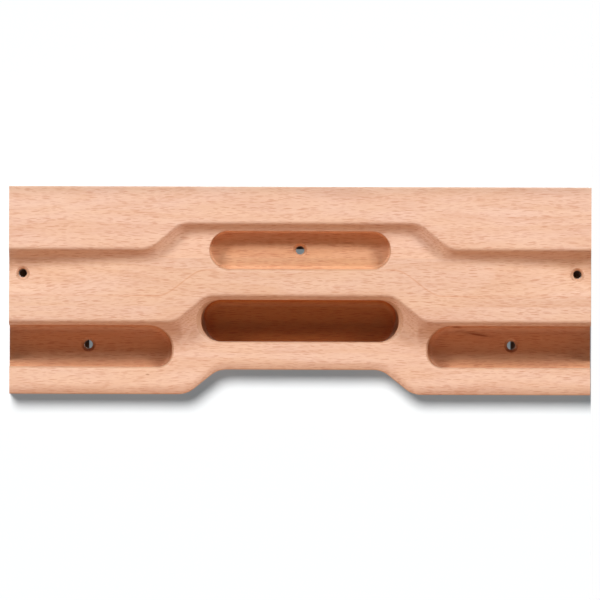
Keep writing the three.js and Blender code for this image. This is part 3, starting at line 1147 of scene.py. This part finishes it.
# Distance between growth rings in millimetres, and where in each ring the late wood comes and goes.
RING_SPACING = 2.6
LATE_WOOD_RISE = (0.25, 0.88)
LATE_WOOD_FALL = (1.0, 0.9)

# What late wood, streaks, clouds, mottles and fibres add to the grain, and where it turns from pale to deep.
GRAIN_WEIGHTS = (0.12, 0.28, 0.2, 0.2, 0.4)
GRAIN_RANGE = (0.36, 0.82)

# Where the wood turns golden, and how much of the golden tone it has before and after.
GOLD_RANGE = (0.25, 0.75)
GOLD_SHARES = (0.1, 0.6)

# The flecks' cells in millimetres, with the chance at which their flecks start to show, and a fleck's edge.
LONG_FLECKS = ((15.0, 2.2, 1.1), -0.3)
SHORT_FLECKS = ((9.0, 1.6, 0.9), -0.1)
SHORT_FLECK_STRENGTH = 0.85
DASH_EDGE = (0.4, 0.24)

# How far a face has turned towards the fibres' ends where end grain shows, and the pores that dot it.
END_RANGE = (0.3, 0.9)
PORE_RANGE = (0.4, 0.66)
PORE_SHARES = (0.5, 0.85)

# What fibres, flecks and cut ends add to the roughness, and how much of that the roughness itself holds.
ROUGHNESS_WEIGHTS = (0.16, 0.1, 0.12)
USUAL_ADDED_ROUGHNESS = 0.08

# What fibres, flecks and late wood add to the height of the surface, how strong it is, and the wood's shine.
HEIGHT_WEIGHTS = (1.0, -0.8, 0.15)
BUMP_STRENGTH = 0.5
WOOD_SHINE = 0.35

# The wood of the staves, from the bottom up.
STAVE_WOODS = (
    StaveWood((0.98, 1.0, 1.0), 60.0, -70.0, (Mark(-152.0, -84.0, 2.6, 1.0, 0.0, 0.7),)),
    StaveWood((0.96, 0.96, 0.95), 90.0, -25.0, (
        Mark(157.0, -36.0, 7.0, 1.1, -0.05, 0.9),
        Mark(179.0, -43.7, 12.0, 1.3, -0.16, 1.0),
        Mark(176.0, -42.5, 26.0, 2.6, -0.16, 0.35),
    )),
    StaveWood((0.95, 0.94, 0.91), 75.0, 6.0, (Mark(190.0, 5.0, 60.0, 1.6, 0.12, 0.12),)),
    StaveWood((1.0, 0.99, 0.98), 110.0, 62.0),
    StaveWood((1.0, 1.0, 1.0), 55.0, 110.0, (Mark(45.0, 95.0, 48.0, 6.0, 0.0, 0.12),)),
)

# Where the painted shade of the top edge starts, in millimetres above the board's middle, and its tone.
TOP_PAINTED_SHADE_FROM = 91.0
TOP_PAINTED_SHADE = (0.66, 0.62, 0.59)

# How far a face has turned up where it gets the painted shade as well, and how much of the shade that makes
# up.
TURNED_UP_RANGE = (0.2, 0.8)
TURNED_UP_SHADE_SHARE = 0.55

# Tone of the fine line at the foot of the recess, and how far from its middle it ends, in millimetres.
CREASE_TONE = (0.93, 0.83, 0.77)
CREASE_EDGE = (1.3, 0.3)

# How far before its climb that line starts, how far past the climb it weakens, in millimetres, and to what.
CREASE_START = (16.0, 4.0)
CREASE_FADE = (12.0, 50.0)
CREASE_FAR_STRENGTH = 0.45

# Painted shade by how deep a place lies, in millimetres, from the recess over faces and rims to the pockets:
# darker deep in the recess, on rims and deep in pockets and holes.
PAINTED_HOLLOW_SHADES = (
    (-6.5, (0.76, 0.63, 0.54)),
    (-3.0, (0.97, 0.94, 0.90)),
    (-0.5, (1.0, 1.0, 1.0)),
    (0.45, (1.0, 1.0, 1.0)),
    (1.1, (0.82, 0.75, 0.68)),
    (3.0, (0.82, 0.75, 0.68)),
    (6.0, (0.95, 0.88, 0.80)),
    (34.0, (0.92, 0.74, 0.57)),
    (59.0, (0.84, 0.63, 0.47)),
    (64.0, (0.74, 0.54, 0.39)),
    (72.0, (0.62, 0.56, 0.52)),
    (73.5, (0.56, 0.49, 0.46)),
    (76.0, (0.54, 0.20, 0.04)),
    (80.0, (0.55, 0.29, 0.10)),
    (84.0, (0.46, 0.27, 0.12)),
    (88.0, (0.33, 0.19, 0.10)),
)


class BOARD_OT_wood(bpy.types.Operator):
    """Give each stave its own piece of steamed beech"""

    bl_idname = "board.wood"
    bl_label = "Wood"

    def execute(self, context):
        form = BoardForm(context.scene.board)
        for index, name in enumerate(STAVE_NAMES):
            stave = bpy.data.objects[name + "_beech"]
            stave.data.materials.clear()
            stave.data.materials.append(make_beech(form, index))
        return {"FINISHED"}


def aim(lamp, place, target):
    """Puts a lamp or camera at a place and points it at the target."""
    lamp.location = place
    lamp.rotation_euler = (target - place).to_track_quat("-Z", "Y").to_euler()


def link_lamp(lamp, lit, shading):
    """Lets a lamp light some pieces alone, in the shadows of some pieces alone."""
    receivers = bpy.data.collections.new(lamp.name + "_lit")
    blockers = bpy.data.collections.new(lamp.name + "_shading")
    for piece in lit:
        receivers.objects.link(piece)
    for piece in shading:
        blockers.objects.link(piece)
    lamp.light_linking.receiver_collection = receivers
    lamp.light_linking.blocker_collection = blockers


def make_lamp(name, width, height, power):
    """A rectangular area lamp that the camera doesn't see."""
    data = bpy.data.lights.new(name, "AREA")
    data.shape = "RECTANGLE"
    data.size = width
    data.size_y = height
    data.energy = power
    lamp = bpy.data.objects.new(name, data)
    lamp.visible_camera = False
    bpy.context.scene.collection.objects.link(lamp)
    return lamp


def make_world(looks):
    """A weak even fill that shows as plain white behind the object."""
    world = bpy.data.worlds.new("studio")
    bench = Bench(world)
    strength = bench.feed(bench.node("ShaderNodeMapRange"), {
        "Value": bench.seen(),
        "To Min": looks.fill,
        "To Max": 1.0,
    })
    background = bench.feed(bench.node("ShaderNodeBackground"), {
        "Color": opaque(WHITE),
        "Strength": strength.outputs["Result"],
    })
    output = bench.node("ShaderNodeOutputWorld")
    bench.feed(output, {"Surface": background.outputs["Background"]})
    bpy.context.scene.world = world


def make_paper(name, shade):
    """Plain paper that glows with its shade where it is seen, and is clear from behind."""
    material = bpy.data.materials.new(name)
    bench = Bench(material)
    paper = bench.feed(bench.node("ShaderNodeBsdfDiffuse"), {"Color": opaque(PAPER_COLOUR)})
    glow = bench.feed(bench.node("ShaderNodeEmission"), {
        "Color": opaque(SHADE_COLOUR),
        "Strength": bench.math("MULTIPLY", bench.seen(), shade),
    })
    front = bench.feed(bench.node("ShaderNodeAddShader"), {
        0: paper.outputs["BSDF"],
        1: glow.outputs["Emission"],
    })
    surface = bench.node("ShaderNodeNewGeometry")
    clear = bench.node("ShaderNodeBsdfTransparent")
    sides = bench.feed(bench.node("ShaderNodeMixShader"), {
        0: surface.outputs["Backfacing"],
        1: front.outputs["Shader"],
        2: clear.outputs["BSDF"],
    })
    output = bench.node("ShaderNodeOutputMaterial")
    bench.feed(output, {"Surface": sides.outputs["Shader"]})
    return material


def make_sheet(name, left, right, low, high, y, paper):
    """An upright sheet of paper that faces the camera."""
    bm = bmesh.new()
    bmesh.ops.create_grid(bm, x_segments=1, y_segments=1, size=0.5)
    bmesh.ops.rotate(bm, verts=bm.verts, matrix=Matrix.Rotation(math.pi / 2, 3, "X"))
    bmesh.ops.scale(bm, verts=bm.verts, vec=(right - left, 1, high - low))
    bmesh.ops.translate(bm, verts=bm.verts, vec=((left + right) / 2, y, (low + high) / 2))
    sheet = finished_mesh(bm, name)
    sheet.data.materials.append(paper)
    sheet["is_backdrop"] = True
    return sheet


def make_flag(name, x, form):
    """An unseen slab beside the open end of a side pocket.

    It leans as the light falls, and keeps light from the side off the floor above the pocket's foot.
    """
    sizes = form.settings.side_pocket
    lean = Matrix.Rotation(-form.settings.stage.key_angle, 3, "X")
    bm = bmesh.new()
    bmesh.ops.create_cube(bm, size=1.0)

    # One edge of the cube goes to the X axis, about which the slab then leans.
    bmesh.ops.translate(bm, verts=bm.verts, vec=(0.5, -0.5, 0.5))
    bmesh.ops.scale(bm, verts=bm.verts, vec=(FLAG_THICKNESS, FLAG_LENGTH, FLAG_WIDTH))
    bmesh.ops.rotate(bm, verts=bm.verts, matrix=lean)
    foot = form.side_pocket_top - sizes.height + FLAG_OVER_FOOT
    bmesh.ops.translate(bm, verts=bm.verts, vec=(x, form.front + sizes.depth, foot))
    flag = finished_mesh(bm, name)
    flag.data.materials.append(make_paper(name, 0.0))
    flag.visible_camera = False
    flag.visible_diffuse = False
    flag.visible_glossy = False
    flag.visible_transmission = False
    flag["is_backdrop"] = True
    return flag


class BOARD_OT_stage(bpy.types.Operator):
    """Set up the white backdrop, the lamps and the camera"""

    bl_idname = "board.stage"
    bl_label = "Stage"

    def execute(self, context):
        scene = context.scene
        looks = scene.board.stage
        low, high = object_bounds()
        middle = (low + high) / 2
        front = Vector((middle.x, low.y, middle.z))
        make_world(looks)

        # The backdrop ends where the camera sees the end of the board in front of it.
        spread_at_back = (looks.camera_distance + high.y - low.y) / looks.camera_distance
        backdrop = make_sheet(
            "backdrop",
            -BACKDROP_REACH,
            high.x * spread_at_back,
            -BACKDROP_REACH,
            BACKDROP_REACH,
            high.y + BACKDROP_GAP,
            make_paper("white_paper", looks.shade),
        )

        # Unlit cards close the screw holes from behind and paint the shade seen through them: a black one,
        # and a grey one that covers part of it.
        form = BoardForm(scene.board)
        beyond_hole = 2 * form.settings.holes.radius
        make_sheet(
            "black_card",
            low.x + BLACK_CARD_SHORT,
            high.x - BLACK_CARD_SHORT,
            form.side_hole - beyond_hole,
            form.top_hole + beyond_hole,
            high.y + BLACK_CARD_GAP,
            make_paper("black_paper", 0.0),
        )
        make_sheet(
            "grey_card",
            GREY_CARD_SHORT - form.side_hole_x,
            form.side_hole_x - GREY_CARD_SHORT,
            form.side_hole - beyond_hole,
            form.top_hole + GREY_CARD_OVER,
            high.y + GREY_CARD_GAP,
            make_paper("grey_paper", looks.card_shade),
        )

        staves = [bpy.data.objects[name + "_beech"] for name in STAVE_NAMES]
        flags = [
            make_flag("left_flag", low.x - FLAG_GAP - FLAG_THICKNESS, form),
            make_flag("right_flag", high.x + FLAG_GAP, form),
        ]
        for name, way in (("left_key", -looks.key_side), ("right_key", looks.key_side)):
            key = make_lamp(name, looks.key_size, looks.key_size, looks.key_power)
            key_way = Vector((way, -math.cos(looks.key_angle), math.sin(looks.key_angle)))
            aim(key, front + key_way * looks.key_distance, front)
            link_lamp(key, staves, staves + flags)

        under = make_lamp("under_lamp", UNDER_LAMP_LENGTH, UNDER_LAMP_WIDTH, looks.under_power)
        under.data.color = looks.under_colour
        aim(under, front + Vector(UNDER_WAY) * UNDER_DISTANCE, front)
        link_lamp(under, staves, staves)

        data = bpy.data.lights.new("backdrop_sun", "SUN")
        data.energy = looks.backdrop_sun
        data.angle = looks.backdrop_softness
        sun = bpy.data.objects.new("backdrop_sun", data)
        scene.collection.objects.link(sun)
        aim(sun, middle + Vector(SUN_WAY), middle)
        link_lamp(sun, [backdrop], staves)

        rear = make_lamp("rear_lamp", REAR_LAMP_SIZE, REAR_LAMP_SIZE, looks.rear_power)
        aim(rear, middle + Vector(REAR_WAY) * REAR_DISTANCE, middle)
        link_lamp(rear, staves, staves)

        data = bpy.data.cameras.new("camera")
        data.sensor_width = SENSOR_WIDTH
        data.lens = SENSOR_WIDTH * looks.camera_distance / looks.view_width
        camera = bpy.data.objects.new("camera", data)
        camera.location = front + Vector((0, -looks.camera_distance, -looks.camera_drop))
        camera.rotation_euler = (math.pi / 2, looks.camera_roll, 0)
        scene.collection.objects.link(camera)
        scene.camera = camera
        scene.view_settings.view_transform = "Standard"
        return {"FINISHED"}


# The camera's sensor width in the lens's unit, which is millimetres.
SENSOR_WIDTH = 36.0

# Colours of the world, of paper and of its glow, which makes up for the warm light that wood throws on it.
WHITE = (1.0, 1.0, 1.0)
PAPER_COLOUR = (0.3, 0.3, 0.3)
SHADE_COLOUR = (0.8, 0.94, 1.0)

# How far the backdrop runs from the middle in metres, and how far it and the cards lie behind the board.
BACKDROP_REACH = 1.5
BACKDROP_GAP = 0.5 * MILLIMETRE
BLACK_CARD_GAP = 0.3 * MILLIMETRE
GREY_CARD_GAP = 0.15 * MILLIMETRE

# How far the black card stops short of the board's ends, and the grey card of the side holes' middles.
BLACK_CARD_SHORT = 0.2 * MILLIMETRE
GREY_CARD_SHORT = 0.6 * MILLIMETRE

# How far the grey card rises over the middle of the top hole.
GREY_CARD_OVER = 1.2 * MILLIMETRE

# Sizes and places of the slabs beside the side pockets.
FLAG_GAP = 0.5 * MILLIMETRE
FLAG_THICKNESS = 1 * MILLIMETRE
FLAG_LENGTH = 44 * MILLIMETRE
FLAG_WIDTH = 22 * MILLIMETRE
FLAG_OVER_FOOT = 6.5 * MILLIMETRE

# Sizes, distances and directions of the lamps, in metres.
UNDER_LAMP_LENGTH = 1.6
UNDER_LAMP_WIDTH = 0.5
UNDER_DISTANCE = 1.0
UNDER_WAY = (0.0, -0.6, -0.8)
SUN_WAY = (-0.2, -1.0, 0.41)
REAR_LAMP_SIZE = 1.5
REAR_DISTANCE = 1.6
REAR_WAY = (0.1, 1.0, 0.5)


class BOARD_PT_build(bpy.types.Panel):
    """Lists the steps that build the board"""

    bl_idname = "BOARD_PT_build"
    bl_label = "Training board"
    bl_space_type = "VIEW_3D"
    bl_region_type = "UI"
    bl_category = "Board"

    def draw(self, context):
        settings = context.scene.board
        for operator in OPERATORS:
            self.layout.operator(operator.bl_idname)
        for group in GROUP_NAMES:
            box = self.layout.box()
            box.label(text=group.replace("_", " ").capitalize())
            values = getattr(settings, group)
            for name in values.__annotations__:
                box.prop(values, name)


OPERATORS = (BOARD_OT_staves, BOARD_OT_wood, BOARD_OT_stage)
GROUP_NAMES = ("tiers", "edges", "top_pocket", "centre_pocket", "side_pocket", "holes", "wood", "stage")
CLASSES = (
    TierSizes,
    EdgeSizes,
    TopPocketSizes,
    CentrePocketSizes,
    SidePocketSizes,
    HoleSizes,
    WoodLooks,
    StageLooks,
    BoardSettings,
    *OPERATORS,
    BOARD_PT_build,
)


def register():
    for kind in CLASSES:
        bpy.utils.register_class(kind)
    bpy.types.Scene.board = PointerProperty(type=BoardSettings)


def unregister():
    del bpy.types.Scene.board
    for kind in reversed(CLASSES):
        bpy.utils.unregister_class(kind)


def main():
    """Builds the board and its stage."""
    register()
    bpy.ops.board.staves()
    bpy.ops.board.wood()
    bpy.ops.board.stage()


if __name__ == "__main__":
    main()
